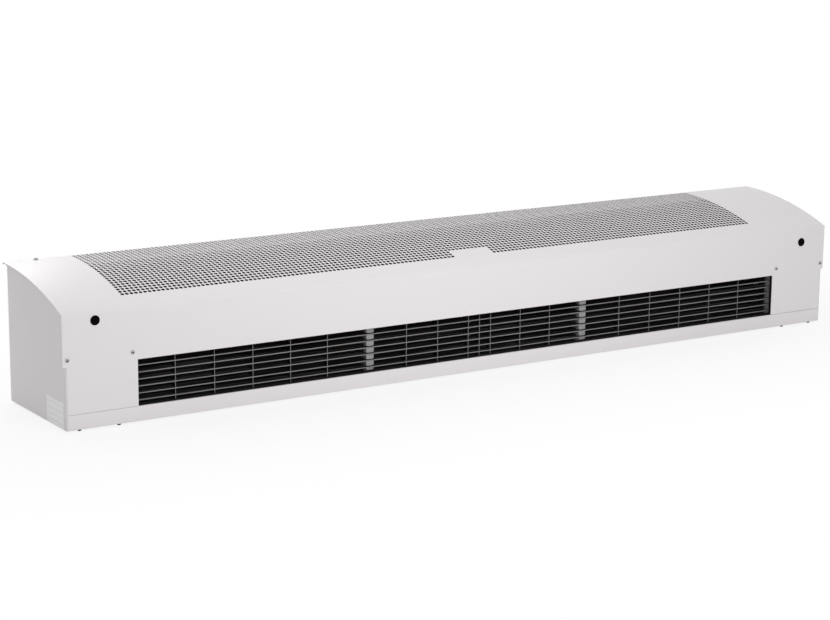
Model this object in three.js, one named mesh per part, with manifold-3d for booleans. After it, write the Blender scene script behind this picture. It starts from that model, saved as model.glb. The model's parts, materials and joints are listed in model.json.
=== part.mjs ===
// Air curtain for a two-metre doorway, drawn as it lies on its wall side.
// Millimetres, +Z up, X along the casing, -Y the discharge side. On the wall the underside here
// faces the wall, the louvres look down at the doorway and the punched arch faces the room.
import * as THREE from "three";
import { mergeVertices } from "three/addons/utils/BufferGeometryUtils.js";
import Module from "manifold-3d";

const wasm = await Module();
wasm.setup();

// ---- Driving dimensions ----

// Casing
const coverLength = 1990;
const casingDepth = 282; // front face to rear panel
const lipReach = 10; // rear panel to the cover's rear lip
const frontHeight = 234; // underside to the fold
const rearHeight = 290; // underside to the crown at the rear lip
const casingSheet = 1.2;
const innerSheet = 1;
const seam = 0.3; // between pieces that touch
const reveal = 0.6; // visible joint between casing pieces
const sideInset = 5.5; // cover end to side plate
const legInset = 8.3; // cover end to the narrower lower part of its front
const earHeight = 128; // where the wide upper part of the cover's front ends
const earChamfer = 2.5;
const sideFlangeWidth = 26;
const sideFlangeDrop = 8; // fold to the top of the side flange
const baseFlange = 20; // bottom flanges of rail and rear panel
const trayInset = 3; // front and rear faces to the back plate's lips
const sillDepth = 3;
const lipDrop = 4.8; // rear lip, down from the crown
const lipReturnRise = 3.2; // slope of the lip's return over its depth
const rearFlangeWidth = 7;
const topRailFront = 233; // front face to the rail under the crown
const topRailDrop = 10.7; // crown to the rail's upper side
const topRailFlange = 16;

// Discharge opening
const openingMargin = 161; // cover end to opening
const openingBottom = 31;
const openingTop = 127.3;
const ductOverrun = 15; // side edge of the opening to the end wall of the duct behind it
const grilleOverrun = 8; // side edge of the opening to the end of the grille

// Punched field: holes in the real sheet, drawn here in blocks that join neighbouring holes
const holeDiameter = 8;
const holePitch = 10;
const holeArcPitch = 10.36;
const holeColumns = 164;
const blockHoleRows = 4;
const blockHoleColumns = 5;
const firstRowArc = 51.4; // along the arch from the fold
const lastRowMargin = 8; // least distance from the last row to the rear lip
const firstColumnMargin = 152.5; // left cover end to the first column
const barePadRows = 3;
const barePadColumns = 10;
const barePadStart = 80; // columns left of the bare pad

// Grille
const bladeCount = 6;
const bladePitch = 14.4;
const firstBladeRise = 7; // opening's lower edge to the lowest blade
const bladeFront = 17; // front face to the blades
const bladeChord = 21;
const bladeNose = 2.4;
const bladeTail = 1.4;
const bladeTilt = 16; // degrees, rear edge up
const ribThickness = 2;
const ribDepth = 12;
const ribSetback = 0.5;
const ribPitch = 89;
const middleRibSteps = [29.5, 109.5, 190]; // from the middle of the casing
const firstRibMargin = 91; // side edge of the opening to the first rib
const combCentre = 282; // from the middle of the casing
const combWidth = 18;
const combDepth = 23;
const combSetback = 7; // bar of a comb behind the blades' front edges
const toothSetback = 0.5; // teeth of a comb behind the blades' front edges
const toothDepth = 8.5;
const toothCorner = 3.5; // cut off a tooth's lower corners
const toothRise = 2.5; // blade to the tooth over it

// Fasteners and plugs
const coverScrewHead = 8;
const coverScrewHeight = 2.6;
const coverScrewShank = 3.8;
const coverScrewLength = 9;
const outerScrewMargin = 9.8;
const innerScrewOffset = 10.9; // opening to the inner cover screws
const frontScrewHeight = 143;
const rearScrewHead = 9.5;
const rearScrewHeight = 3;
const rearScrewMargin = 70.5;
const rearScrewInset = 5.5; // from the rear lip
const footScrewHead = 8.4;
const footScrewHeight = 3.2;
const frontFootMargins = [34.5, 120];
const rearFootMargins = [34.5];
const footScrewInset = 6;
const plugFlange = 20;
const plugProud = 1.6;
const plugNeck = 15;
const plugNeckLength = 7;
const leftPlug = { margin: 70.6, height: 216.9 };
const rightPlug = { margin: 73.8, height: 200.4 };
const labelDepth = 82;
const labelHeight = 55;
const labelFront = 13.5;
const labelThickness = 0.4;

// Keyholes in the back plate, for wall screws
const keyholeHead = 12;
const keyholeSlot = 6;
const keyholeRun = 14;
const keyholeX = [250, 700]; // each side of the middle
const keyholeY = 150;

// Blower
const rotorY = 168;
const rotorZ = 150;
const wheelRadius = 52;
const wheelDisc = 2;
const wheelBlades = 16;
const wheelBladeChord = 11;
const wheelBladeThickness = 1.2;
const wheelBladeAngle = 32;
const wheelBladeInset = 1; // blades inside the rim of the discs
const wheelRingWidth = 14;
const wheelInnerEnd = 84; // from the middle of the casing
const wheelEndGap = 6; // wheel to duct end
const tipGap = 5;
const scrollGrowthRatio = 1.844; // mouth radius to first radius of the scroll
const scrollStartAngle = 80; // degrees
const scrollEndAngle = -116;
const scrollSteps = 14;
const tongueAngle = 192; // degrees round the wheel
const tongueCurl = 8;
const floorBend = 50;
const floorLipReach = 14; // front face to where the floor's lip ends
const floorLipDrop = 2.5; // slope of the lip down under the sill
const tongueBend = 46;
const tongueGap = 2; // opening's upper edge to the guide plate
const riserLap = 6; // riser over the top rail's front flange
const shaftRadius = 5;
const hubRadius = 13;
const hubLength = 12;
const stubLength = 46;
const bearingRadius = 13;
const bearingWidth = 10;
const holderRadius = 20;
const holderFlange = 32;
const holderSheet = 2;
const couplingRadius = 20;
const couplingLength = 18;
const couplingCollar = 3.7;
const motorRadius = 46;
const motorHalfLength = 48;
const motorChamfer = 4;
const motorBossRadius = 18;
const motorBossEnd = 72;
const motorShaftEnd = 98;
const motorPlateX = 66;
const motorPlateDrop = 30; // fold to the top of the motor plates
const ductEndDrop = 10; // fold to the top of the duct ends
const ringWall = 8;
const ringHalfWidth = 5;

// Heater and electrics
const heaterRadius = 4.2;
const heaterY = 66;
const heaterRods = ["lower", "middle", "upper"];
const heaterTail = 16; // past the right duct end
const heaterBracketDepth = 24;
const heaterBracketInset = 6; // from the duct ends
const cutoutRadius = 9;
const cutoutHeight = 8;
const cutoutPlace = { x: 300, y: 31 };
const terminalBlock = { offset: 50, y: 90, length: 60, width: 25, height: 24, ways: 5, barrier: 4 };
const capacitor = { offset: 35, y: 205, radius: 20, length: 70, chamfer: 2, stud: 6 };
const leadRadius = 3;
const leadY = 62;
const leadExit = { x: 20, angle: 120 }; // on the motor's barrel
const leadBend = 20;
const leadClearance = 1; // at the wall it passes
const grommetOffset = 65; // right duct end to the cable grommet
const grommetZ = 120;
const grommetHole = 22;
const grommetFlange = 30;
const grommetBore = 14;
const grommetLip = 2.2;

// ---- Worked out from those ----

const coverDepth = casingDepth + lipReach;
const halfCover = coverLength / 2;
const sideOuter = halfCover - sideInset;
const sideInner = sideOuter - casingSheet;
const legEdge = halfCover - legInset;
const halfOpening = halfCover - openingMargin;
const panelEnd = sideInner - seam; // pieces that fit between the side plates
const grilleEnd = halfOpening + grilleOverrun;
const halfDuct = halfOpening + ductOverrun;
const ductEndInner = halfDuct + seam;
const ductEndOuter = ductEndInner + innerSheet;
const archRise = rearHeight - frontHeight;
const archRadius = (coverDepth ** 2 + archRise ** 2) / (2 * archRise);
const archAngle = Math.asin(coverDepth / archRadius);
const standoff = footScrewHeight + seam;
const frontReach = Math.max(coverScrewHeight, plugProud) + seam;
const floorTop = openingBottom - innerSheet;
const tongueUnder = openingTop + tongueGap;
const flangeLevel = casingSheet + seam;
const ductEndTop = frontHeight - ductEndDrop;
const ductEndFront = baseFlange + flangeLevel + 2 * seam;
const ductEndRear = casingDepth - ductEndFront;

const grommetX = ductEndOuter + grommetOffset;

const toRadians = THREE.MathUtils.degToRad;
const screwSides = 8;
const roundSides = 16;
const leadSides = 6;
const leadSteps = 48;

// Point on the arch at an arc length from the fold, moved inwards by a depth.
function archPoint(arc, depth = 0) {
  const angle = archAngle - arc / archRadius;
  const radius = archRadius - depth;
  return [
    coverDepth - radius * Math.sin(angle),
    rearHeight - archRadius + radius * Math.cos(angle),
  ];
}

// Height of the arch over a distance from the front, moved inwards by a depth.
function archHeight(y, depth = 0) {
  const radius = archRadius - depth;
  return rearHeight - archRadius + Math.sqrt(radius ** 2 - (coverDepth - y) ** 2);
}

// The arch is folded at the borders of the blocks of holes, so each block lies on one flat.
const archLength = archRadius * archAngle;
const holeRows = Math.floor((archLength - firstRowArc - lastRowMargin) / holeArcPitch) + 1;
const archStations = [0];
for (let row = 0; row < holeRows; row += blockHoleRows) {
  archStations.push(firstRowArc + (row - 0.5) * holeArcPitch);
}
archStations.push(firstRowArc + (holeRows - 0.5) * holeArcPitch, archLength);

// The scroll opens out from the wheel as a spiral.
const scrollFirst = wheelRadius + tipGap;
const aroundRotor = (radius, degrees) => [
  rotorY + radius * Math.cos(toRadians(degrees)),
  rotorZ + radius * Math.sin(toRadians(degrees)),
];
const scrollPath = [];
for (let step = 0; step <= scrollSteps; step++) {
  const share = step / scrollSteps;
  const degrees = scrollStartAngle + share * (scrollEndAngle - scrollStartAngle);
  scrollPath.push(aroundRotor(scrollFirst * scrollGrowthRatio ** share, degrees));
}
const [scrollMouthY, scrollMouthZ] = scrollPath[scrollSteps];
const [tongueTipY, tongueTipZ] = aroundRotor(scrollFirst, tongueAngle);

// Upper side of the duct floor.
function floorHeight(y) {
  const slope = (scrollMouthZ - floorTop + innerSheet) / (scrollMouthY - floorBend);
  return floorTop + Math.max(0, y - floorBend) * slope;
}

// Underside of the tongue plate over the duct.
function tongueHeight(y) {
  const slope = (tongueTipZ - tongueUnder) / (tongueTipY - tongueBend);
  return tongueUnder + Math.max(0, y - tongueBend) * slope;
}

const heaterFloor = floorHeight(heaterY);
const heaterStep = (tongueHeight(heaterY) - heaterFloor) / (heaterRods.length + 1);
const heaterHeights = heaterRods.map((name, i) => heaterFloor + (i + 1) * heaterStep);
const leadZ = tongueHeight(leadY) + innerSheet + leadRadius + 2 * seam;
const leadThroughWall = [ductEndInner, leadY, leadZ];

// ---- Shape helpers ----

function toSolid(geometry) {
  const bare = geometry.clone();
  bare.deleteAttribute("normal");
  bare.deleteAttribute("uv");
  const merged = mergeVertices(bare, 1e-4);
  return new wasm.Manifold(
    new wasm.Mesh({
      numProp: 3,
      vertProperties: merged.attributes.position.array,
      triVerts: new Uint32Array(merged.index.array),
    }),
  );
}

function toGeometry(solid) {
  const mesh = solid.getMesh();
  const geometry = new THREE.BufferGeometry();
  geometry.setAttribute("position", new THREE.BufferAttribute(mesh.vertProperties, 3));
  geometry.setIndex(new THREE.BufferAttribute(mesh.triVerts, 1));
  return geometry;
}

function join(...shapes) {
  const solids = shapes.map(toSolid);
  return toGeometry(solids.reduce((whole, solid) => whole.add(solid)));
}

function cut(shape, ...tools) {
  const solids = tools.map(toSolid);
  return toGeometry(solids.reduce((whole, solid) => whole.subtract(solid), toSolid(shape)));
}

function outline(points) {
  return new THREE.Shape(points.map(([u, v]) => new THREE.Vector2(u, v)));
}

function prism(points, length) {
  return new THREE.ExtrudeGeometry(outline(points), { depth: length, bevelEnabled: false });
}

// Outline in (y, z), drawn out along X.
function alongX(points, from, to) {
  const shape = prism(points, to - from);
  const axes = new THREE.Matrix4().makeBasis(
    new THREE.Vector3(0, 1, 0),
    new THREE.Vector3(0, 0, 1),
    new THREE.Vector3(1, 0, 0),
  );
  return shape.applyMatrix4(axes).translate(from, 0, 0);
}

// Outline in (x, z), drawn out along Y.
function alongY(points, from, to) {
  return prism(points, to - from).rotateX(Math.PI / 2).translate(0, to, 0);
}

// Outline in (x, y), drawn out along Z.
function alongZ(points, from, to) {
  return prism(points, to - from).translate(0, 0, from);
}

function block(x, y, z) {
  const shape = new THREE.BoxGeometry(x[1] - x[0], y[1] - y[0], z[1] - z[0]);
  return shape.translate((x[0] + x[1]) / 2, (y[0] + y[1]) / 2, (z[0] + z[1]) / 2);
}

// Closed outline of a folded sheet: the path, and its offset to the left by the thickness.
function foldedSheet(path, thickness) {
  const offset = path.map(([u, v], i) => {
    const before = path[Math.max(i - 1, 0)];
    const after = path[Math.min(i + 1, path.length - 1)];
    const into = normalOf(i === 0 ? [u, v] : before, i === 0 ? after : [u, v]);
    const out = normalOf(i === path.length - 1 ? before : [u, v], i === path.length - 1 ? [u, v] : after);
    const stretch = thickness / (1 + into[0] * out[0] + into[1] * out[1]);
    return [u + (into[0] + out[0]) * stretch, v + (into[1] + out[1]) * stretch];
  });
  return [...path, ...offset.reverse()];
}

function normalOf(a, b) {
  const length = Math.hypot(b[0] - a[0], b[1] - a[1]);
  return [(a[1] - b[1]) / length, (b[0] - a[0]) / length];
}

// Turned piece: profile in (radius, height), axis along a direction from a place.
function turned(profile, sides, place, direction) {
  const closed = profile[0][0] === 0 ? profile : [...profile, profile[0]];
  const shape = new THREE.LatheGeometry(closed.map(([r, h]) => new THREE.Vector2(r, h)), sides);
  const turn = new THREE.Quaternion().setFromUnitVectors(
    new THREE.Vector3(0, 1, 0),
    new THREE.Vector3(...direction),
  );
  return shape.applyQuaternion(turn).translate(...place);
}

function rod(radius, length, place, direction, sides = roundSides) {
  return turned([[0, 0], [radius, 0], [radius, length], [0, length]], sides, place, direction);
}

function ring(inner, outer, length, place, direction, sides = roundSides) {
  const profile = [[inner, 0], [outer, 0], [outer, length], [inner, length]];
  return turned(profile, sides, place, direction);
}

const RIGHT = [1, 0, 0];
const LEFT = [-1, 0, 0];
const FORWARD = [0, -1, 0];
const UP = [0, 0, 1];
const DOWN = [0, 0, -1];

function drill(diameter, place, direction, reach = 8) {
  const start = place.map((value, i) => value - direction[i] * reach);
  return rod(diameter / 2, 2 * reach, start, direction, diameter < plugNeck ? screwSides : roundSides);
}

// Pan-head screw whose head stands a seam clear of the surface at its place.
function screw(head, height, shank, length, place, direction) {
  const rim = head / 2;
  const shoulder = 0.4 * height;
  const profile = [
    [0, -length],
    [shank / 2, -length],
    [shank / 2, seam],
    [rim, seam],
    [rim, seam + shoulder],
    [rim - shoulder, seam + height],
    [0, seam + height],
  ];
  return turned(profile, screwSides, place, direction);
}

// ---- Finishes ----

const finishes = {
  casingPaint: { color: 0xdcd9d9, roughness: 0.45, metalness: 0 },
  galvanised: { color: 0xa9abad, roughness: 0.45, metalness: 0.8 },
  ductPaint: { color: 0x1c1c1d, roughness: 0.6, metalness: 0 },
  louvrePlastic: { color: 0x2e2e2f, roughness: 0.5, metalness: 0 },
  blackPlastic: { color: 0x141415, roughness: 0.45, metalness: 0 },
  screwSteel: { color: 0x8c8c8e, roughness: 0.35, metalness: 0.9 },
  wheelMetal: { color: 0x9a9c9e, roughness: 0.4, metalness: 0.85 },
  motorPaint: { color: 0x3a3c3f, roughness: 0.5, metalness: 0.3 },
  rubber: { color: 0x1a1a1a, roughness: 0.85, metalness: 0 },
  heaterSteel: { color: 0x77736d, roughness: 0.5, metalness: 0.8 },
  labelFilm: { color: 0xe6e4e4, roughness: 0.35, metalness: 0 },
  terminalPlastic: { color: 0xcfcbbd, roughness: 0.5, metalness: 0 },
};

const casing = new THREE.Group();

function add(name, geometry, finish) {
  const mesh = new THREE.Mesh(geometry, new THREE.MeshStandardMaterial(finishes[finish]));
  mesh.name = name;
  casing.add(mesh);
}

const sides = [
  { name: "left", sign: -1, outward: LEFT },
  { name: "right", sign: 1, outward: RIGHT },
];

// The same span on either side of the middle: [from, to] in ascending order.
function span(sign, near, far) {
  return sign > 0 ? [near, far] : [-far, -near];
}

// ---- Casing ----

function plateAcross(sign, near, far, points) {
  const [from, to] = span(sign, near, far);
  return alongX(points, from, to);
}

// Front of the cover: full width above the ears, narrower legs beside the opening.
function coverFront() {
  const top = frontHeight - 2 * casingSheet;
  const half = [
    [halfCover, top],
    [halfCover, earHeight + earChamfer],
    [halfCover - earChamfer, earHeight],
    [legEdge, earHeight],
    [legEdge, openingBottom + reveal],
    [halfOpening, openingBottom + reveal],
    [halfOpening, openingTop],
  ];
  const mirrored = half.map(([x, z]) => [-x, z]).reverse();
  return alongY([...mirrored, ...half].reverse(), 0, casingSheet);
}

// Sheet from the front over the arch to the rear lip.
function coverArch() {
  const arch = archStations.map((arc) => archPoint(arc));
  const path = [[0, earHeight + 2 * earChamfer], ...arch, [coverDepth, rearHeight - lipDrop]];
  return alongX(foldedSheet(path, -casingSheet), -halfCover, halfCover);
}

// Return of the rear lip, hooked under the rear panel's flange.
function lipReturn() {
  const low = rearHeight - lipDrop - lipReturnRise;
  const path = [[coverDepth, rearHeight - lipDrop], [casingDepth + reveal, low]];
  return alongX(foldedSheet(path, -casingSheet), -panelEnd, panelEnd);
}

// Openings that each join a block of holes, less the webs between them and the bare pad.
function punchedField() {
  const radius = holeDiameter / 2;
  const left = -halfCover + firstColumnMargin;
  const reach = 4;
  const rowAt = (row) => firstRowArc + row * holeArcPitch;
  const sector = (from, to, low, high) => {
    return [archPoint(from, low), archPoint(to, low), archPoint(to, high), archPoint(from, high)];
  };
  const rows = [];
  for (let row = 0; row < holeRows; row += blockHoleRows) {
    const last = Math.min(row + blockHoleRows, holeRows) - 1;
    const points = sector(rowAt(row) - radius, rowAt(last) + radius, reach, -reach);
    rows.push(alongX(points, left - radius, left + (holeColumns - 1) * holePitch + radius));
  }
  const webs = [];
  for (let column = blockHoleColumns; column < holeColumns; column += blockHoleColumns) {
    const x = left + (column - 0.5) * holePitch;
    const half = (holePitch - holeDiameter) / 2;
    webs.push(block([x - half, x + half], [0, coverDepth], [0, rearHeight + 2 * reach]));
  }
  const padX = left + (barePadStart - 1) * holePitch + radius;
  const padWidth = (barePadColumns + 1) * holePitch - holeDiameter;
  const padPoints = sector(0, rowAt(barePadRows) - radius, 2 * reach, -2 * reach);
  webs.push(alongX(padPoints, padX, padX + padWidth));
  return cut(join(...rows), ...webs);
}

function coverScrewPlaces() {
  const distances = { outer: halfCover - outerScrewMargin, inner: halfOpening + innerScrewOffset };
  return sides.flatMap((side) =>
    Object.entries(distances).map(([which, x]) => ({
      name: `cover_screw_${side.name}_${which}`,
      place: [side.sign * x, 0, frontScrewHeight],
    })),
  );
}

const rearScrewPlace = [-halfCover + rearScrewMargin, coverDepth - rearScrewInset, rearHeight];
const plugPlaces = {
  left: [-halfCover + leftPlug.margin, 0, leftPlug.height],
  right: [halfCover - rightPlug.margin, 0, rightPlug.height],
};
const screwHole = coverScrewShank + 2 * seam;
const plugHole = plugNeck + 2 * seam;

function frontCover() {
  const holes = coverScrewPlaces().map(({ place }) => drill(screwHole, place, FORWARD));
  holes.push(drill(plugHole, plugPlaces.left, FORWARD));
  holes.push(drill(plugHole, plugPlaces.right, FORWARD));
  holes.push(drill(screwHole, rearScrewPlace, DOWN, 2 * lipDrop));
  return cut(join(coverArch(), coverFront(), lipReturn()), punchedField(), ...holes);
}

function footScrewPlaces(row, margins, y) {
  return sides.flatMap((side) =>
    margins.map((margin, i) => ({
      name: `base_screw_${row}_${side.name}_${i + 1}`,
      place: [side.sign * (halfCover - margin), y, 0],
    })),
  );
}

const frontFeet = footScrewPlaces("front", frontFootMargins, footScrewInset);
const rearFeet = footScrewPlaces("rear", rearFootMargins, casingDepth - footScrewInset);

function footHoles(feet) {
  return feet.map(({ place }) => drill(screwHole, place, UP));
}

// Channel under the opening: sill, front face and bottom flange.
function lowerRail() {
  const path = [[sillDepth, openingBottom], [0, openingBottom], [0, 0], [baseFlange, 0]];
  const channel = alongX(foldedSheet(path, casingSheet), -legEdge, legEdge);
  return cut(channel, ...footHoles(frontFeet));
}

function keyhole(x) {
  const head = rod(keyholeHead / 2, 4 * casingSheet, [x, keyholeY, -casingSheet], UP, screwSides);
  const half = keyholeSlot / 2;
  const through = [-casingSheet, 3 * casingSheet];
  return join(head, block([x - half, x + half], [keyholeY, keyholeY + keyholeRun], through));
}

// Tray against the wall, with lips that lie on the flanges of rail and rear panel.
function backPlate() {
  const lip = baseFlange + seam;
  const rear = casingDepth - lip;
  const path = [
    [trayInset, flangeLevel],
    [lip, flangeLevel],
    [lip, 0],
    [rear, 0],
    [rear, flangeLevel],
    [casingDepth - trayInset, flangeLevel],
  ];
  const tray = alongX(foldedSheet(path, casingSheet), -panelEnd, panelEnd);
  const keyholes = keyholeX.flatMap((x) => [keyhole(x), keyhole(-x)]);
  return cut(tray, ...keyholes, ...footHoles([...frontFeet, ...rearFeet]));
}

function rearPanel() {
  const flangeZ = rearHeight - 2 * (casingSheet + seam);
  const path = [
    [casingDepth - baseFlange, 0],
    [casingDepth, 0],
    [casingDepth, flangeZ],
    [casingDepth + rearFlangeWidth, flangeZ],
  ];
  const panel = alongX(foldedSheet(path, casingSheet), -panelEnd, panelEnd);
  const cableHole = drill(grommetHole + 2 * seam, [grommetX, casingDepth, grommetZ], FORWARD);
  return cut(panel, cableHole, drill(screwHole, rearScrewPlace, DOWN, 2 * lipDrop), ...footHoles(rearFeet));
}

// Stiffening channel between the end plates, close under the last rows of holes.
const topRailLevel = rearHeight - topRailDrop;

function topRail() {
  const rear = casingDepth - casingSheet - seam;
  const low = topRailLevel - topRailFlange;
  const path = [[topRailFront, low], [topRailFront, topRailLevel], [rear, topRailLevel], [rear, low]];
  return alongX(foldedSheet(path, -innerSheet), -panelEnd, panelEnd);
}

// End plate: arched top under the cover, a horn that closes the rear lip, and a front flange.
function sidePlate(sign) {
  const under = casingSheet + seam;
  const rearEdge = coverDepth - under;
  const arch = archStations.slice(1, -1).map((arc) => archPoint(arc, under));
  const edge = [
    [under, 0],
    [casingDepth, 0],
    [casingDepth, rearHeight - lipDrop - lipReturnRise - seam],
    [rearEdge, rearHeight - lipDrop - seam],
    [rearEdge, archHeight(rearEdge, under)],
    ...arch.reverse(),
    [under, archHeight(under, under)],
  ];
  const plate = plateAcross(sign, sideInner, sideOuter, edge);
  const stripX = span(sign, legEdge + seam, sideOuter);
  const strip = block(stripX, [0, under + casingSheet], [0, earHeight - reveal]);
  const flangeX = span(sign, sideOuter - sideFlangeWidth, sideOuter);
  const flangeY = [under, under + casingSheet];
  const lowZ = [flangeLevel + casingSheet + seam, openingBottom - casingSheet - seam];
  const low = block(flangeX, flangeY, lowZ);
  const high = block(flangeX, flangeY, [openingBottom + seam, frontHeight - sideFlangeDrop]);
  const holes = coverScrewPlaces().map(({ place }) => drill(screwHole, place, FORWARD));
  return cut(join(plate, strip, low, high), ...holes);
}

add("front_cover", frontCover(), "casingPaint");
add("lower_rail", lowerRail(), "casingPaint");
add("back_plate", backPlate(), "galvanised");
add("rear_panel", rearPanel(), "casingPaint");
add("top_rail", topRail(), "casingPaint");
for (const side of sides) {
  add(`side_plate_${side.name}`, sidePlate(side.sign), "casingPaint");
}

// ---- Fasteners, plugs and the blank label ----

for (const { name, place } of coverScrewPlaces()) {
  const shape = screw(coverScrewHead, coverScrewHeight, coverScrewShank, coverScrewLength, place, FORWARD);
  add(name, shape, "screwSteel");
}
add(
  "rear_screw",
  screw(rearScrewHead, rearScrewHeight, coverScrewShank, 2 * lipDrop, rearScrewPlace, UP),
  "screwSteel",
);
for (const { name, place } of [...frontFeet, ...rearFeet]) {
  const shape = screw(footScrewHead, footScrewHeight, coverScrewShank, coverScrewLength, place, DOWN);
  add(name, shape, "screwSteel");
}

function holePlug(place) {
  const profile = [
    [0, -plugNeckLength],
    [plugNeck / 2, -plugNeckLength],
    [plugNeck / 2, seam],
    [plugFlange / 2, seam],
    [plugFlange / 2, seam + plugProud / 2],
    [plugFlange / 2 - plugProud, seam + plugProud],
    [0, seam + plugProud],
  ];
  return turned(profile, roundSides, place, FORWARD);
}

for (const [name, place] of Object.entries(plugPlaces)) {
  add(`hole_plug_${name}`, holePlug(place), "blackPlastic");
}

add(
  "rating_label",
  block(
    span(-1, sideOuter + seam / 3, sideOuter + seam / 3 + labelThickness),
    [labelFront, labelFront + labelDepth],
    [seam, seam + labelHeight],
  ),
  "labelFilm",
);

// ---- Air duct ----

function ductFloor() {
  const end = scrollMouthY - 4 * seam;
  const path = [
    [casingSheet + seam, floorTop - innerSheet - floorLipDrop],
    [floorLipReach, floorTop - innerSheet],
    [floorBend, floorTop - innerSheet],
    [end, floorHeight(end) - innerSheet],
  ];
  return alongX(foldedSheet(path, innerSheet), -halfDuct, halfDuct);
}

// Guide plate over the duct, rolled up at the wheel, where it splits intake from discharge.
function tonguePlate() {
  const curl = tongueCurl;
  const path = [
    [sillDepth + seam, tongueUnder],
    [tongueBend, tongueUnder],
    [tongueTipY - curl / 2, tongueHeight(tongueTipY - curl / 2)],
    [tongueTipY, tongueTipZ + curl / 2],
    [tongueTipY - curl / 4, tongueTipZ + 2 * curl],
    [tongueTipY - 2 * curl, tongueTipZ + 4 * curl],
  ];
  return alongX(foldedSheet(path, innerSheet), -halfDuct, halfDuct);
}

// Wall at each end of the duct, with the bearing seat, an outward flange behind the cover and a
// tab over the guide plate for the cover's inner screw.
function ductEnd(sign) {
  const front = casingSheet + seam;
  const notch = openingBottom + seam;
  const edge = [
    [ductEndFront, flangeLevel],
    [ductEndRear, flangeLevel],
    [ductEndRear, ductEndTop],
    [front, ductEndTop],
    [front, notch],
    [ductEndFront, notch],
  ];
  const wall = plateAcross(sign, ductEndInner, ductEndOuter, edge);
  const flangeX = span(sign, ductEndInner, ductEndInner + sideFlangeWidth - seam);
  const flangeTop = frontScrewHeight + coverScrewHead;
  const flange = block(flangeX, [front, front + innerSheet], [notch, flangeTop]);
  const tabX = span(sign, halfOpening + grilleOverrun / 2, ductEndOuter);
  const tab = block(tabX, [front, front + innerSheet], [tongueUnder + innerSheet + seam, flangeTop]);
  const foot = block(flangeX, [ductEndFront, ductEndRear], [flangeLevel, flangeLevel + innerSheet]);
  const seat = drill(2 * (bearingRadius + seam), [sign * ductEndInner, rotorY, rotorZ], RIGHT);
  const tools = coverScrewPlaces().map(({ place }) => drill(screwHole, place, FORWARD));
  tools.push(seat);
  if (sign > 0) {
    const heaterHole = 2 * (heaterRadius + seam);
    tools.push(...heaterHeights.map((z) => drill(heaterHole, [ductEndInner, heaterY, z], RIGHT)));
    tools.push(drill(2 * (leadRadius + leadClearance), leadThroughWall, RIGHT));
  }
  return cut(join(wall, flange, tab, foot), ...tools);
}

// Scroll behind a wheel, and a riser to the top rail that runs on over the motor to the middle.
function scrollShell(sign) {
  const riserTop = [topRailFront - seam - innerSheet, topRailLevel - topRailFlange + riserLap];
  const scroll = foldedSheet([riserTop, ...scrollPath], innerSheet);
  const riser = foldedSheet([riserTop, scrollPath[0]], innerSheet);
  const scrollInner = motorPlateX + innerSheet + seam;
  return join(
    plateAcross(sign, scrollInner, halfDuct, scroll),
    plateAcross(sign, seam / 2, scrollInner + innerSheet, riser),
  );
}

// Wall beside the motor, which it carries in a rubber ring.
function motorPlate(sign) {
  const front = scrollMouthY + 4 * innerSheet;
  const top = frontHeight - motorPlateDrop;
  const edge = [[front, flangeLevel], [ductEndRear, flangeLevel], [ductEndRear, top], [front, top]];
  const wall = plateAcross(sign, motorPlateX, motorPlateX + innerSheet, edge);
  const footX = span(sign, motorPlateX - baseFlange, motorPlateX + innerSheet);
  const foot = block(footX, [front, ductEndRear], [flangeLevel, flangeLevel + innerSheet]);
  const seat = 2 * (motorBossRadius + ringWall + 2 * seam);
  return cut(join(wall, foot), drill(seat, [sign * motorPlateX, rotorY, rotorZ], RIGHT));
}

add("duct_floor", ductFloor(), "ductPaint");
add("tongue_plate", tonguePlate(), "ductPaint");
for (const side of sides) {
  add(`duct_end_${side.name}`, ductEnd(side.sign), "ductPaint");
  add(`scroll_shell_${side.name}`, scrollShell(side.sign), "ductPaint");
  add(`motor_plate_${side.name}`, motorPlate(side.sign), "ductPaint");
}

// ---- Discharge grille ----

// Blade section, thick at the front edge and tilted so that its rear edge is high.
function bladeSection(height, grow = 0) {
  const nose = bladeNose / 2 + grow;
  const tail = bladeTail / 2 + grow;
  const points = [
    [bladeChord + grow, -tail],
    [bladeChord + grow, tail],
    [-grow, nose],
    [-grow, -nose],
  ];
  const tilt = toRadians(bladeTilt);
  return points.map(([u, v]) => [
    bladeFront + u * Math.cos(tilt) - v * Math.sin(tilt),
    height + u * Math.sin(tilt) + v * Math.cos(tilt),
  ]);
}

const firstBlade = openingBottom + firstBladeRise;
const bladeHeights = Array.from({ length: bladeCount }, (_, i) => firstBlade + i * bladePitch);
const grilleBottom = floorTop + seam;
const grilleTop = tongueUnder - seam;

function grilleModule(from, to, ribs, ...ends) {
  const ribFront = bladeFront + ribSetback;
  const blades = bladeHeights.map((z) => alongX(bladeSection(z), from, to));
  const half = ribThickness / 2;
  const ribY = [ribFront, ribFront + ribDepth];
  const uprights = ribs.map((x) => block([x - half, x + half], ribY, [grilleBottom, grilleTop]));
  return join(...blades, ...uprights, ...ends);
}

// Teeth between the blades, cut off at their lower corners.
function teeth(from, to) {
  const front = bladeFront + toothSetback;
  const tops = [...bladeHeights, grilleTop];
  const clear = bladeNose / 2 + toothRise;
  const lows = [floorTop + toothRise, ...bladeHeights.map((z) => z + clear)];
  return tops.map((top, i) => {
    const low = lows[i];
    const points = [
      [from, top],
      [from, low + toothCorner],
      [from + toothCorner, low],
      [to - toothCorner, low],
      [to, low + toothCorner],
      [to, top],
    ];
    return alongY(points, front, front + toothDepth);
  });
}

// Upright that ends a grille module, with a narrow row of teeth and a foot on the duct's end wall.
function moduleEnd(sign) {
  const front = bladeFront + combSetback;
  const bar = block(span(sign, halfOpening, halfDuct), [front, front + combDepth], [grilleBottom, grilleTop]);
  return [bar, ...teeth(...span(sign, halfOpening, grilleEnd))];
}

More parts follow.
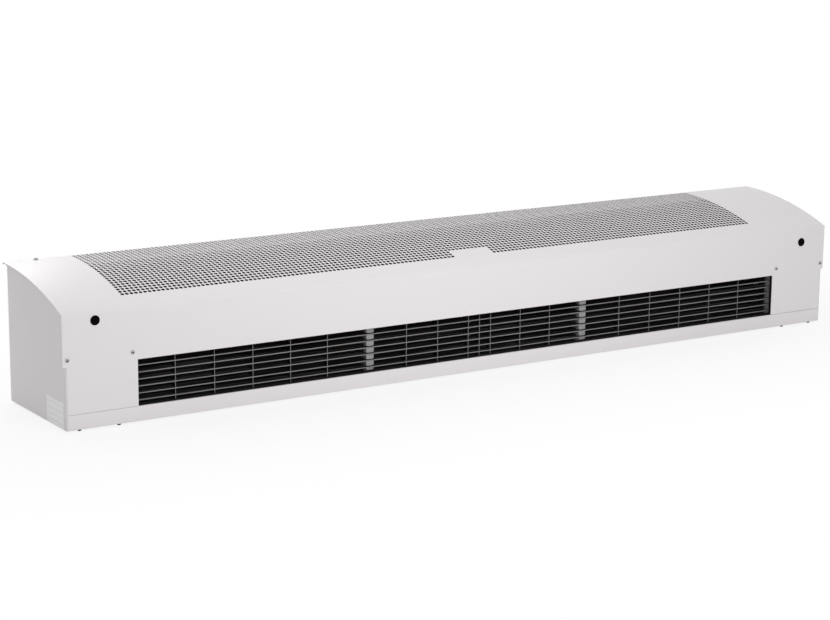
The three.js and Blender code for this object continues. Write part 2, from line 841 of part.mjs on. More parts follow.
// Slotted upright at the joint of two grille modules, with teeth between the blades.
function grilleComb(centre) {
  const front = bladeFront + combSetback;
  const across = [centre - combWidth / 2, centre + combWidth / 2];
  const bar = block(across, [front, front + combDepth], [grilleBottom, grilleTop]);
  const slots = bladeHeights.map((z) =>
    alongX(bladeSection(z, seam), centre - combWidth, centre + combWidth),
  );
  return cut(join(bar, ...teeth(...across)), ...slots);
}

const outerRibs = [];
for (let x = halfOpening - firstRibMargin; x > combCentre + ribPitch / 2; x -= ribPitch) {
  outerRibs.push(x);
}
const middleRibs = [0, ...middleRibSteps];
const jointGap = seam / 2;

const leftRibs = outerRibs.map((x) => -x);
const allMiddleRibs = [...middleRibs, ...middleRibs.slice(1).map((x) => -x)];

const grilleModules = {
  left: grilleModule(-grilleEnd, -combCentre - jointGap, leftRibs, ...moduleEnd(-1)),
  middle: grilleModule(-combCentre + jointGap, combCentre - jointGap, allMiddleRibs),
  right: grilleModule(combCentre + jointGap, grilleEnd, outerRibs, ...moduleEnd(1)),
};
for (const [name, shape] of Object.entries(grilleModules)) {
  add(`grille_${name}`, shape, "louvrePlastic");
}
for (const side of sides) {
  add(`grille_comb_${side.name}`, grilleComb(side.sign * combCentre), "galvanised");
}

// ---- Motor and wheels ----

const onAxis = (x) => [x, rotorY, rotorZ];

function motorBody() {
  const bore = shaftRadius + seam;
  const profile = [
    [bore, -motorBossEnd],
    [motorBossRadius, -motorBossEnd],
    [motorBossRadius, -motorHalfLength],
    [motorRadius - motorChamfer, -motorHalfLength],
    [motorRadius, -motorHalfLength + motorChamfer],
    [motorRadius, motorHalfLength - motorChamfer],
    [motorRadius - motorChamfer, motorHalfLength],
    [motorBossRadius, motorHalfLength],
    [motorBossRadius, motorBossEnd],
    [bore, motorBossEnd],
  ];
  return turned(profile, roundSides, onAxis(0), RIGHT);
}

function impeller(sign) {
  const near = wheelInnerEnd;
  const far = halfDuct - wheelEndGap;
  const middle = (near + far) / 2;
  const at = (x, length, shape) => shape(length, onAxis(sign > 0 ? x : -x - length));
  const disc = (length, place) => rod(wheelRadius, length, place, RIGHT);
  const band = (length, place) => ring(wheelRadius - wheelRingWidth, wheelRadius, length, place, RIGHT);
  const hub = (length, place) => rod(hubRadius, length, place, RIGHT);
  const blades = [];
  const [from, to] = span(sign, near + wheelDisc / 2, far - wheelDisc / 2);
  for (let i = 0; i < wheelBlades; i++) {
    const half = wheelBladeThickness / 2;
    const blade = block([from, to], [-wheelBladeChord / 2, wheelBladeChord / 2], [-half, half]);
    const out = wheelRadius - wheelBladeChord / 2 - wheelBladeInset;
    blade.rotateX(toRadians(wheelBladeAngle)).translate(0, out, 0);
    blades.push(blade.rotateX((2 * Math.PI * (i + 0.5)) / wheelBlades).translate(0, rotorY, rotorZ));
  }
  const wheel = join(
    at(near, wheelDisc, disc),
    at(middle, wheelDisc, band),
    at(far - wheelDisc, wheelDisc, disc),
    at(far - hubLength, hubLength - wheelDisc / 2, hub),
    ...blades,
  );
  const couplingSeat = at(near - wheelDisc, 3 * wheelDisc, (length, place) =>
    rod(couplingRadius + seam, length, place, RIGHT),
  );
  const stubSeat = at(far - 2 * hubLength, 3 * hubLength, (length, place) =>
    rod(shaftRadius + seam / 2, length, place, RIGHT, screwSides),
  );
  return cut(wheel, couplingSeat, stubSeat);
}

function coupling(side) {
  const start = wheelInnerEnd - seam - couplingCollar;
  const profile = [
    [shaftRadius + seam / 2, 0],
    [couplingRadius + couplingCollar, 0],
    [couplingRadius + couplingCollar, couplingCollar],
    [couplingRadius, couplingCollar],
    [couplingRadius, couplingLength],
    [shaftRadius + seam / 2, couplingLength],
  ];
  return turned(profile, roundSides, onAxis(side.sign * start), side.outward);
}

function motorRing(side) {
  const inner = motorBossRadius + seam;
  const place = onAxis(side.sign * (motorPlateX + innerSheet / 2 - ringHalfWidth));
  return ring(inner, inner + ringWall, 2 * ringHalfWidth, place, side.outward);
}

const holderStart = ductEndOuter + seam;

function bearingHolder(side) {
  const inner = bearingRadius + seam;
  const profile = [
    [inner, 0],
    [holderFlange, 0],
    [holderFlange, holderSheet],
    [holderRadius, holderSheet],
    [holderRadius, holderSheet + bearingWidth],
    [inner, holderSheet + bearingWidth],
  ];
  return turned(profile, roundSides, onAxis(side.sign * holderStart), side.outward);
}

add("motor_body", motorBody(), "motorPaint");
add(
  "motor_shaft",
  rod(shaftRadius, 2 * motorShaftEnd, onAxis(-motorShaftEnd), RIGHT, screwSides),
  "screwSteel",
);
for (const side of sides) {
  const stubStart = halfDuct - wheelEndGap - hubLength;
  const stub = rod(shaftRadius, stubLength, onAxis(side.sign * stubStart), side.outward, screwSides);
  const bearingPlace = onAxis(side.sign * (holderStart + seam));
  const bearing = ring(shaftRadius + seam / 2, bearingRadius, bearingWidth, bearingPlace, side.outward);
  add(`motor_ring_${side.name}`, motorRing(side), "rubber");
  add(`coupling_${side.name}`, coupling(side), "rubber");
  add(`impeller_${side.name}`, impeller(side.sign), "wheelMetal");
  add(`stub_shaft_${side.name}`, stub, "screwSteel");
  add(`bearing_${side.name}`, bearing, "screwSteel");
  add(`bearing_holder_${side.name}`, bearingHolder(side), "galvanised");
}

// ---- Heater ----

const heaterBrackets = {
  left: -halfDuct + heaterBracketInset,
  centre: 0,
  right: halfDuct - heaterBracketInset,
};

function heaterBracket(x) {
  const front = heaterY - heaterBracketDepth / 2;
  const rear = heaterY + heaterBracketDepth / 2;
  const edge = [
    [front, floorHeight(front) + seam],
    [rear, floorHeight(rear) + seam],
    [rear, tongueHeight(rear) - seam],
    [front, tongueHeight(front) - seam],
  ];
  const half = casingSheet / 2;
  const holes = heaterHeights.map((z) =>
    drill(2 * (heaterRadius + seam), [x, heaterY, z], RIGHT),
  );
  return cut(alongX(edge, x - half, x + half), ...holes);
}

for (const [name, x] of Object.entries(heaterBrackets)) {
  add(`heater_bracket_${name}`, heaterBracket(x), "galvanised");
}
heaterRods.forEach((name, i) => {
  const start = heaterBrackets.left - heaterBracketInset / 2;
  const length = ductEndOuter + heaterTail - start;
  const shape = rod(heaterRadius, length, [start, heaterY, heaterHeights[i]], RIGHT, screwSides);
  add(`heater_rod_${name}`, shape, "heaterSteel");
});

// ---- Electrics ----

add(
  "thermal_cutout",
  rod(cutoutRadius, cutoutHeight, [cutoutPlace.x, cutoutPlace.y, tongueUnder + innerSheet + seam], UP),
  "blackPlastic",
);

const terminalX = ductEndOuter + terminalBlock.offset;

// Row of clamps with a barrier between neighbours.
function terminals() {
  const { y, length, width, height, ways, barrier } = terminalBlock;
  const base = flangeLevel;
  const pitch = length / ways;
  const tools = [];
  for (let i = 0; i < ways; i++) {
    const from = terminalX + pitch * i + barrier / 2;
    const upper = [base + height / 2, base + 2 * height];
    tools.push(block([from, from + pitch - barrier], [y - width / 3, y + width / 3], upper));
  }
  return cut(block([terminalX, terminalX + length], [y, y + width], [base, base + height]), ...tools);
}
add("terminal_block", terminals(), "terminalPlastic");

function capacitorCan() {
  const { offset, y, radius, length, chamfer, stud } = capacitor;
  const profile = [
    [0, 0],
    [radius - chamfer, 0],
    [radius, chamfer],
    [radius, length],
    [radius / 3, length],
    [radius / 3, length + stud],
    [0, length + stud],
  ];
  return turned(profile, roundSides, [ductEndOuter + offset, y, flangeLevel + radius], RIGHT);
}
add("motor_capacitor", capacitorCan(), "terminalPlastic");

// Lead from the motor over the tongue plate and through the right duct end to the terminals.
function motorLead() {
  const blockTop = flangeLevel + terminalBlock.height + seam;
  const blockX = terminalX + terminalBlock.length / 2;
  const blockY = terminalBlock.y + (2 * terminalBlock.width) / 3;
  const wallX = ductEndInner;
  const { x, angle } = leadExit;
  const route = [
    [x, ...aroundRotor(motorRadius + leadRadius / 2, angle)],
    [x, ...aroundRotor(motorRadius + leadBend, angle)],
    [x + 2 * leadBend, leadY + 1.2 * leadBend, leadZ + 1.7 * leadBend],
    [x + 4.5 * leadBend, leadY, leadZ + leadBend / 4],
    [x + 7.5 * leadBend, leadY, leadZ],
    [x + 8.5 * leadBend, leadY, leadZ],
    [wallX - 2 * leadBend, leadY, leadZ],
    [wallX - leadBend, leadY, leadZ],
    [wallX + leadBend / 3, leadY, leadZ],
    [wallX + leadBend, leadY, leadZ - leadRadius],
    [blockX, blockY, leadZ - 2 * leadBend],
    [blockX, blockY, blockTop],
  ];
  const places = route.map((point) => new THREE.Vector3(...point));
  const path = new THREE.CatmullRomCurve3(places, false, "centripetal");
  const section = [];
  for (let i = 0; i < leadSides; i++) {
    const angle = (2 * Math.PI * i) / leadSides;
    section.push([leadRadius * Math.cos(angle), leadRadius * Math.sin(angle)]);
  }
  return new THREE.ExtrudeGeometry(outline(section), { steps: leadSteps, extrudePath: path });
}
add("motor_lead", motorLead(), "rubber");

// Grommet for the mains cable, snapped into the rear panel.
function grommet() {
  const bore = grommetBore / 2;
  const neck = grommetHole / 2;
  const rim = grommetFlange / 2;
  const inner = -casingSheet - seam; // face inside the panel
  const profile = [
    [bore, inner - grommetLip],
    [rim, inner - grommetLip],
    [rim, inner],
    [neck, inner],
    [neck, seam],
    [rim, seam],
    [rim - grommetLip / 2, seam + grommetLip],
    [bore, seam + grommetLip],
  ];
  return turned(profile, roundSides, [grommetX, casingDepth, grommetZ], [0, 1, 0]);
}
add("cable_grommet", grommet(), "rubber");

// The origin lies under the middle of the whole, on the surface that the base screws rest on.
casing.position.set(0, (frontReach - coverDepth) / 2, standoff);
const airCurtain = new THREE.Group();
airCurtain.add(casing);

export default airCurtain;
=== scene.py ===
import json
import math
import random

import bpy
from mathutils import Matrix, Vector

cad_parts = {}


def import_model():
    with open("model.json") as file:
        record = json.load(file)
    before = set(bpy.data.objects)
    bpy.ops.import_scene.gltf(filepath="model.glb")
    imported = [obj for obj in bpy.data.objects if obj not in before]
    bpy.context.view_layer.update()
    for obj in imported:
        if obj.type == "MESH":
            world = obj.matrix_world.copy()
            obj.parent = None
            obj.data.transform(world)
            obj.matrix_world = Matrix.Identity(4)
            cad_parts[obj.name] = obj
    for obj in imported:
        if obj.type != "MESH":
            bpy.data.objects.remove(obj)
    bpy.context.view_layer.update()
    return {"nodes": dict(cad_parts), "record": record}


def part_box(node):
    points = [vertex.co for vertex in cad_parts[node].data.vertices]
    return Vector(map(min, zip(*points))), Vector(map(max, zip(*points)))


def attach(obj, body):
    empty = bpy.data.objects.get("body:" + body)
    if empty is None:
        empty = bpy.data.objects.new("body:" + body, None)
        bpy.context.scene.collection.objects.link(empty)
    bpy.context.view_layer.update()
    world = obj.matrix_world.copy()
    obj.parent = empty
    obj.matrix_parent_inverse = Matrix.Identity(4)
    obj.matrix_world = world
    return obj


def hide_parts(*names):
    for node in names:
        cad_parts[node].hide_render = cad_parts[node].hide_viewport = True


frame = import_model()

mm = 0.001

# The casing's own faces, read from the frame. Pieces below are made in casing terms:
# x from the middle, depth from the front face, height from the underside.
coverLow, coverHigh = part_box("front_cover")
casingCorner = Vector((0, coverLow.y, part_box("lower_rail")[0].z))
halfCover = coverHigh.x
coverDepth = coverHigh.y - coverLow.y
crownHeight = coverHigh.z - casingCorner.z


def casingBox(node):
    low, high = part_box(node)
    return low - casingCorner, high - casingCorner


def millimetres(**sizes):
    def metres(size):
        return tuple(value * mm for value in size) if isinstance(size, tuple) else size * mm
    return {name: metres(size) for name, size in sizes.items()}


class Wire:  # one output of a node, that can be used in sums
    def __init__(self, nodes, socket):
        self.nodes, self.socket = nodes, socket

    def sum(self, operation, *terms):
        wires = [term for term in terms if isinstance(term, Wire)]
        isVector = any(wire.socket.type == "VECTOR" for wire in wires)
        kind = "VectorMath" if isVector else "Math"
        return self.nodes.add(kind, {"operation": operation}, terms)

    def __add__(self, other): return self.sum("ADD", self, other)
    def __radd__(self, other): return self.sum("ADD", other, self)
    def __sub__(self, other): return self.sum("SUBTRACT", self, other)
    def __rsub__(self, other): return self.sum("SUBTRACT", other, self)
    def __mul__(self, other): return self.sum("MULTIPLY", self, other)
    def __rmul__(self, other): return self.sum("MULTIPLY", other, self)
    def __lt__(self, other): return self.sum("LESS_THAN", self, other)
    def __gt__(self, other): return self.sum("GREATER_THAN", self, other)
    def __abs__(self): return self.sum("ABSOLUTE", self)

    def beside(self, output):  # another output of the same node
        return Wire(self.nodes, self.socket.node.outputs[output])


class Nodes:  # a node tree, and the one way in which its nodes are made
    def __init__(self, tree):
        self.tree = tree

    def add(self, kind, settings=None, inputs=(), output=0):
        node = self.tree.nodes.new("ShaderNode" + kind)
        for key, value in (settings or {}).items():
            if key == "stops":
                ramp = node.color_ramp.elements
                for extra in value[2:]:
                    ramp.new(0.5)
                for element, (position, colour) in zip(ramp, value):
                    element.position, element.color = position, (*colour, 1)
            else:
                setattr(node, key, value)
        named = inputs.items() if isinstance(inputs, dict) else enumerate(inputs)
        for key, value in named:
            self.plug(value, node.inputs[key])
        return Wire(self, node.outputs[output])

    def plug(self, value, socket):
        if isinstance(value, Wire):
            self.tree.links.new(value.socket, socket)
        elif isinstance(value, tuple) and len(value) == 3 and socket.type == "RGBA":
            socket.default_value = (*value, 1)
        else:
            socket.default_value = value

    def mix(self, share, first, second):  # of two colours
        return self.add("Mix", {"data_type": "RGBA"}, {0: share, 6: first, 7: second}, 2)

    def ease(self, value, start, end, low=0.0, high=1.0):  # smooth step from low to high
        return self.add("MapRange", {"interpolation_type": "SMOOTHSTEP"}, {
            "Value": value, "From Min": start, "From Max": end, "To Min": low, "To Max": high})

    def seen(self):  # 1 to the camera, in reflections and through glass, and 0 as light
        most = {"operation": "MAXIMUM"}
        camera = self.add("LightPath")
        gloss, glass = camera.beside("Is Glossy Ray"), camera.beside("Is Transmission Ray")
        return self.add("Math", most, [camera, self.add("Math", most, [gloss, glass])])


class Finish(Nodes):  # a material
    def __init__(self, name, colour):
        self.material = bpy.data.materials.new(name)
        self.material.use_nodes = True
        self.material.diffuse_color = (*colour, 1)
        super().__init__(self.material.node_tree)
        self.shader = self.tree.nodes["Principled BSDF"]
        self.place = self.add("TexCoord", output="Object")

    def noise(self, scale, detail=2, roughness=0.5, stretch=(1, 1, 1)):
        return self.add("TexNoise", None, {
            "Vector": self.place * stretch, "Scale": scale, "Detail": detail,
            "Roughness": roughness})

    def axis(self, name):
        return self.add("SeparateXYZ", None, [self.place], "XYZ".index(name))

    def bump(self, height, depth, strength):
        relief = {"Height": height, "Distance": depth, "Strength": strength}
        self.plug(self.add("Bump", None, relief), self.shader.inputs["Normal"])

    def surface(self, **values):
        names = {"colour": "Base Color", "roughness": "Roughness", "metallic": "Metallic",
                 "specular": "Specular IOR Level"}
        for key, value in values.items():
            self.plug(value, self.shader.inputs[names[key]])
        return self.material


def tint(colour, factor):
    return tuple(channel * factor for channel in colour)


# In the finishes below, a noise is given by its scale, detail, roughness and stretch, and
# a relief by its depth and strength.

paint = dict(
    colour=(0.79, 0.762, 0.77), patch=0.985, cloud=(2.2, 3), peel=(420, 2, 0.6),
    relief=(0.03 * mm, 0.35), roughness=0.36, cloudGloss=0.06, peelGloss=0.05)


def casingPaint():  # satin powder coat with its fine orange peel
    finish = Finish("casingPaint", paint["colour"])
    cloud, peel = finish.noise(*paint["cloud"]), finish.noise(*paint["peel"])
    colour = finish.mix(cloud, paint["colour"], tint(paint["colour"], paint["patch"]))
    finish.bump(peel, *paint["relief"])
    roughness = paint["roughness"] + (cloud - 0.5) * paint["cloudGloss"]
    roughness = roughness + (peel - 0.5) * paint["peelGloss"]
    return finish.surface(colour=colour, roughness=roughness)


# The hole walls carry painted shade, and painted bounce light over the top rail.
wall = dict(
    shade=((0.004, 0.004, 0.004), (0.012, 0.0118, 0.012)),
    lit=((0.2, 0.198, 0.199), (0.26, 0.257, 0.258)),
    litDepth=(200 * mm, 214 * mm), grain=(900, 2), roughness=0.7)


def shadedHoleWall():  # walls of the punched holes: painted shade, and a painted lit band where the light top rail lies under them
    finish = Finish("shadedHoleWall", wall["shade"][1])
    grain = finish.noise(*wall["grain"])
    # painted bounce light: the walls over the top rail are lit in colour
    overRail = finish.ease(finish.axis("Y") - casingCorner.y, *wall["litDepth"])
    shade, lit = finish.mix(grain, *wall["shade"]), finish.mix(grain, *wall["lit"])
    colour = finish.mix(overRail, shade, lit)
    return finish.surface(colour=colour, roughness=wall["roughness"], specular=0.0)


zinc = dict(
    tones=((0.47, 0.48, 0.5), (0.62, 0.63, 0.65)), spangle=110, dust=(14, 4, 0.6), dustShare=0.4,
    relief=(0.01 * mm, 0.3), metallic=0.7, roughness=0.42, spangleGloss=0.14)


def galvanised():
    finish = Finish("galvanised", zinc["tones"][1])
    cells = {"Vector": finish.place, "Scale": zinc["spangle"]}
    flakes = finish.add("TexVoronoi", {"feature": "F1"}, cells, "Color")
    shade = finish.add("RGBToBW", None, [flakes])
    dust = finish.noise(*zinc["dust"])
    share = shade * (1 - zinc["dustShare"]) + dust * zinc["dustShare"]
    finish.bump(shade, *zinc["relief"])
    return finish.surface(
        colour=finish.mix(share, *zinc["tones"]), metallic=zinc["metallic"],
        roughness=zinc["roughness"] + shade * zinc["spangleGloss"])


combTone = (0.28, 0.272, 0.272)
# The grey band along the blades' front noses is a painted highlight; the darkened comb grey at the
# module ends is painted shade.
louvre = dict(
    front=17 * mm, highlightDepth=0.75 * mm, soft=0.35 * mm, ragged=0.6 * mm, teeth=833.5 * mm,
    teethRear=9.3 * mm, streak=(55, 4, 0.7, (0.06, 1.6, 1.6)),
    scratch=(110, 5, 0.75, (0.03, 2.2, 2.2)), scratched=(0.5, 0.72),
    black=(0.005, 0.0047, 0.0048), worn=(0.11, 0.106, 0.106),
    grey=((0.16, 0.155, 0.155), (0.36, 0.35, 0.35)), bare=tint(combTone, 0.55),
    relief=(0.03 * mm, 0.4), roughness=0.55, streakGloss=0.15, specular=0.15)


def louvrePaint():  # black, with a painted highlight in grey along the rounded front noses, and painted shade in a darkened comb grey on the teeth at the module ends
    finish = Finish("louvrePaint", louvre["black"])
    streak, scratch = finish.noise(*louvre["streak"]), finish.noise(*louvre["scratch"])
    depth = finish.axis("Y") - (casingCorner.y + louvre["front"])
    highlightDepth, soft = louvre["highlightDepth"], louvre["soft"]
    # painted highlight: a grey band along the front noses, where the blades catch the light
    edge = finish.ease(depth + (streak - 0.5) * louvre["ragged"], highlightDepth + soft, highlightDepth - soft)
    worn = finish.ease(scratch, *louvre["scratched"])
    black = finish.mix(worn, louvre["black"], louvre["worn"])
    painted = finish.mix(edge, black, finish.mix(streak, *louvre["grey"]))
    # the teeth at the module ends take the comb grey darkened: painted shade
    bare = (abs(finish.axis("X")) > louvre["teeth"]) * (depth < louvre["teethRear"])
    finish.bump(streak, *louvre["relief"])
    return finish.surface(
        colour=finish.mix(bare, painted, louvre["bare"]), specular=louvre["specular"],
        roughness=louvre["roughness"] + streak * louvre["streakGloss"])


steel = dict(
    tones=((0.26, 0.255, 0.26), (0.44, 0.44, 0.45)), stain=(260, 3), grain=(1400, 3, 0.6),
    relief=(0.01 * mm, 0.5), metallic=0.9, roughness=0.3, grainGloss=0.2)


def screwSteel():
    finish = Finish("screwSteel", steel["tones"][1])
    stain, grain = finish.noise(*steel["stain"]), finish.noise(*steel["grain"])
    finish.bump(grain, *steel["relief"])
    return finish.surface(
        colour=finish.mix(stain, *steel["tones"]), metallic=steel["metallic"],
        roughness=steel["roughness"] + grain * steel["grainGloss"])


heated = dict(
    heat=(9, 3, 0.5, (1, 3, 3)), metallic=0.8, roughness=0.4, heatGloss=0.2,
    stops=[(0.3, (0.3, 0.27, 0.24)), (0.55, (0.2, 0.14, 0.1)), (0.75, (0.13, 0.13, 0.18))])


def heaterSteel():  # heat tinted
    finish = Finish("heaterSteel", heated["stops"][0][1])
    heat = finish.noise(*heated["heat"])
    colour = finish.add("ValToRGB", {"stops": heated["stops"]}, [heat])
    roughness = heated["roughness"] + heat * heated["heatGloss"]
    return finish.surface(colour=colour, metallic=heated["metallic"], roughness=roughness)


label = dict(
    margin=3.5 * mm, line=0.5 * mm, rows=4, ink=(0.3, 0.3, 0.31), inkShare=0.35,
    paper=((0.96, 0.955, 0.955), (0.93, 0.925, 0.925)), crease=(40, 3),
    relief=(0.15 * mm, 0.3), roughness=0.38, creaseGloss=0.1)


def labelFilm():  # paper with faint ruled lines, and nothing on them
    finish = Finish("labelFilm", label["paper"][0])
    low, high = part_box("rating_label")
    margin, width, height = label["margin"], high.y - low.y, high.z - low.z
    across, up = finish.axis("Y") - low.y, finish.axis("Z") - low.z
    inWidth = (across > margin) * (across < width - margin)
    inHeight = (up > margin) * (up < height - margin)
    halfPitch = (height - 2 * margin) / label["rows"] / 2
    band = finish.add("Math", {"operation": "PINGPONG"}, [up - margin, halfPitch])
    line = (halfPitch - band < label["line"]) * inWidth * inHeight
    crease = finish.noise(*label["crease"])
    finish.bump(crease, *label["relief"])
    paper = finish.mix(crease, *label["paper"])
    colour = finish.mix(line * label["inkShare"], paper, label["ink"])
    roughness = label["roughness"] + crease * label["creaseGloss"]
    return finish.surface(colour=colour, roughness=roughness)


# Plain finishes: two tones mixed by a cloud, which the roughness follows, and a relief
# from a finer grain or else from the cloud itself.
plainLooks = dict(
    ductPaint=dict(
        tones=((0.006, 0.006, 0.0062), (0.016, 0.0155, 0.0155)), cloud=(30, 4, 0.65, (0.2, 1, 1)),
        grain=(500, 2), relief=(0.02 * mm, 0.3), roughness=0.62, cloudGloss=0.15, specular=0.3),
    combGrey=dict(
        tones=(tint(combTone, 0.85), tint(combTone, 1.15)), cloud=(120, 3, 0.6),
        relief=(0.02 * mm, 0.3), roughness=0.45, cloudGloss=0.1, metallic=0.2),
    blackPlastic=dict(
        tones=((0.0008, 0.0008, 0.0008), (0.0016, 0.0016, 0.0016)), cloud=(700, 3),
        relief=(0.02 * mm, 0.3), roughness=0.75, cloudGloss=0.08, specular=0.04),
    darkScrew=dict(
        tones=((0.02, 0.02, 0.021), (0.06, 0.058, 0.058)), cloud=(300, 3),
        roughness=0.38, cloudGloss=0.15, metallic=0.6),
    wheelMetal=dict(
        tones=((0.4, 0.4, 0.41), (0.56, 0.57, 0.58)), cloud=(240, 3, 0.6, (1, 0.1, 0.1)),
        relief=(0.02 * mm, 0.4), roughness=0.36, cloudGloss=0.16, metallic=0.85),
    motorPaint=dict(
        tones=((0.022, 0.023, 0.026), (0.045, 0.046, 0.05)), cloud=(380, 4, 0.6),
        relief=(0.12 * mm, 0.5), roughness=0.5, cloudGloss=0.15),
    rubber=dict(
        tones=((0.01, 0.01, 0.01), (0.03, 0.03, 0.031)), cloud=(120, 4, 0.6), grain=(900, 2),
        relief=(0.03 * mm, 0.4), roughness=0.72, cloudGloss=0.15),
    terminalPlastic=dict(
        tones=((0.62, 0.59, 0.5), (0.54, 0.52, 0.46)), cloud=(60, 3), grain=(800, 2),
        relief=(0.02 * mm, 0.3), roughness=0.45, cloudGloss=0.1))


def plainFinish(name, tones, cloud, roughness, cloudGloss, grain=None, relief=None, **rest):
    finish = Finish(name, tones[1])
    shade = finish.noise(*cloud)
    if relief:
        finish.bump(finish.noise(*grain) if grain else shade, *relief)
    colour = finish.mix(shade, *tones)
    return finish.surface(colour=colour, roughness=roughness + shade * cloudGloss, **rest)


plain = {name: plainFinish(name, **look) for name, look in plainLooks.items()}
finishes = {
    "casing_paint": casingPaint(),
    "galvanised": galvanised(),
    "duct_paint": plain["ductPaint"],
    "louvre_plastic": louvrePaint(),
    "black_plastic": plain["blackPlastic"],
    "screw_steel": screwSteel(),
    "wheel_metal": plain["wheelMetal"],
    "motor_paint": plain["motorPaint"],
    "rubber": plain["rubber"],
    "heater_steel": heaterSteel(),
    "label_film": labelFilm(),
    "terminal_plastic": plain["terminalPlastic"],
}
extraFinishes = dict(holeWall=shadedHoleWall(), darkScrew=plain["darkScrew"], comb=plain["combGrey"])
print("finishes made:", len(finishes) + len(extraFinishes))

slotOf = {subpart["node"]: subpart["material_slot"] for subpart in frame["record"]["subparts"]}
for node, slotName in slotOf.items():
    for slot in frame["nodes"][node].material_slots:
        slot.material = finishes[slotName]


def meshObject(name, points, faces, marks=None):
    mesh = bpy.data.meshes.new(name)
    mesh.from_pydata(points, [], faces)
    if marks:
        mesh.polygons.foreach_set("material_index", marks)
    mesh.validate()
    piece = bpy.data.objects.new(name, mesh)
    bpy.context.scene.collection.objects.link(piece)
    return piece


def fixed(piece):  # the piece with its modifiers applied
    bpy.context.view_layer.update()
    evaluated = piece.evaluated_get(bpy.context.evaluated_depsgraph_get())
    shape = bpy.data.meshes.new_from_object(evaluated)
    piece.modifiers.clear()
    piece.data = shape
    return piece


def rounded(piece, width, segments, angle):
    edge = piece.modifiers.new("edge", "BEVEL")
    edge.width, edge.segments, edge.limit_method = width, segments, "ANGLE"
    edge.angle_limit, edge.harden_normals = math.radians(angle), False
    return fixed(piece)


def combined(piece, others, operation):
    for other in others:
        step = piece.modifiers.new("step", "BOOLEAN")
        step.operation, step.object, step.solver = operation, other, "MANIFOLD"
    fixed(piece)
    for other in others:
        bpy.data.objects.remove(other)
    return piece


def installed(piece, nodes, material=None, marked=None, smooth=35):
    # Casing terms to the shared frame, then finish, body and the nodes it stands for.
    shape = piece.data
    shape.transform(Matrix.Translation(casingCorner))
    shape.shade_smooth()
    shape.set_sharp_from_angle(angle=math.radians(smooth))
    marks = [polygon.material_index if marked else 0 for polygon in shape.polygons]
    shape.materials.clear()
    shape.materials.append(material or finishes[slotOf[nodes[0]]])
    if marked:
        shape.materials.append(marked)
    shape.polygons.foreach_set("material_index", marks)
    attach(piece, "casing")
    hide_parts(*nodes)
    return piece


def prism(name, outline, start, end, axis="X"):
    # A closed outline drawn out along an axis: (depth, height) along X, (x, height) along Y,
    # (x, depth) along Z.
    order = {"X": (2, 0, 1), "Y": (0, 2, 1), "Z": (0, 1, 2)}[axis]
    points = [[(u, v, w)[i] for i in order] for w in (start, end) for u, v in outline]
    count = len(outline)
    faces = [tuple(reversed(range(count))), tuple(range(count, 2 * count))]
    for i in range(count):
        j = (i + 1) % count
        faces.append((i, j, count + j, count + i))
    if axis == "Y":
        faces = [face[::-1] for face in faces]
    return meshObject(name, points, faces)


def box(name, x, y, z):
    return prism(name, [(y[0], z[0]), (y[1], z[0]), (y[1], z[1]), (y[0], z[1])], *sorted(x))


def lathe(name, profile, sides):
    # Profile of (radius, height), turned round Z. A radius of 0 closes it on the axis.
    points, rings = [], []
    for radius, height in profile:
        if radius == 0:
            rings.append([len(points)] * sides)
            points.append((0, 0, height))
            continue
        rings.append(list(range(len(points), len(points) + sides)))
        for step in range(sides):
            angle = 2 * math.pi * step / sides
            points.append((radius * math.cos(angle), radius * math.sin(angle), height))
    faces = []
    for lower, upper in zip(rings, rings[1:]):
        for step in range(sides):
            after = (step + 1) % sides
            corners = [lower[step], lower[after], upper[after], upper[step]]
            faces.append(tuple(dict.fromkeys(corners)))
    return meshObject(name, points, faces)


def arc(centre, radius, start, end, steps):
    angles = [math.radians(start + (end - start) * i / steps) for i in range(steps + 1)]
    return [(centre[0] + radius * math.cos(a), centre[1] + radius * math.sin(a)) for a in angles]


def centre(node):
    low, high = casingBox(node)
    return (low + high) / 2


class Section:  # outer face of a folded sheet, walked by its length in (depth, height)
    def __init__(self, depth, height, heading):
        self.place, self.heading = Vector((depth, height)), math.radians(heading)
        self.parts, self.length = [], 0

    def run(self, distance):
        self.parts.append((self.length, distance, self.place, self.heading, 0))
        self.length += distance
        self.place = self.at(self.length)[0]
        return self

    def bend(self, radius, degrees):  # to the right of the way walked, or left if negative
        curve = math.copysign(1 / radius, degrees)
        span = radius * math.radians(abs(degrees))
        self.parts.append((self.length, span, self.place, self.heading, curve))
        self.length += span
        self.place = self.at(self.length)[0]
        self.heading -= span * curve
        return self

    def at(self, length, slack=1e-9):  # the point there, and the way out of the sheet
        reached = [part for part in self.parts if part[0] <= length + slack]
        start, _, place, heading, curve = reached[-1]
        walked = length - start
        before = Vector((-math.sin(heading), math.cos(heading)))
        turned = heading - walked * curve
        after = Vector((-math.sin(turned), math.cos(turned)))
        if curve:
            return place + (after - before) / curve, after
        return place + walked * Vector((math.cos(heading), math.sin(heading))), after

    def find(self, depth, height):  # length at a point on one of the flats
        wanted, found = Vector((depth, height)), []
        for start, span, place, heading, curve in self.parts:
            if not curve:
                onward = Vector((math.cos(heading), math.sin(heading)))
                walked = min(max((wanted - place).dot(onward), 0), span)
                found.append(((place + onward * walked - wanted).length, start + walked))
        return min(found)[1]

    def lines(self, tight=4 * mm, steps=5):  # where the sheet needs an edge across it
        lines = [self.length]
        for start, span, _, _, curve in self.parts:
            count = steps if curve and 1 / abs(curve) < tight else 1
            lines += [start + span * i / count for i in range(count)]
        return lines


near = 0.002 * mm


def distinct(values):
    kept = []
    for value in sorted(values):
        if not kept or value - kept[-1] > near:
            kept.append(value)
    return kept


def indices(values, low, high):
    return [i for i, value in enumerate(values) if low - near < value < high + near]


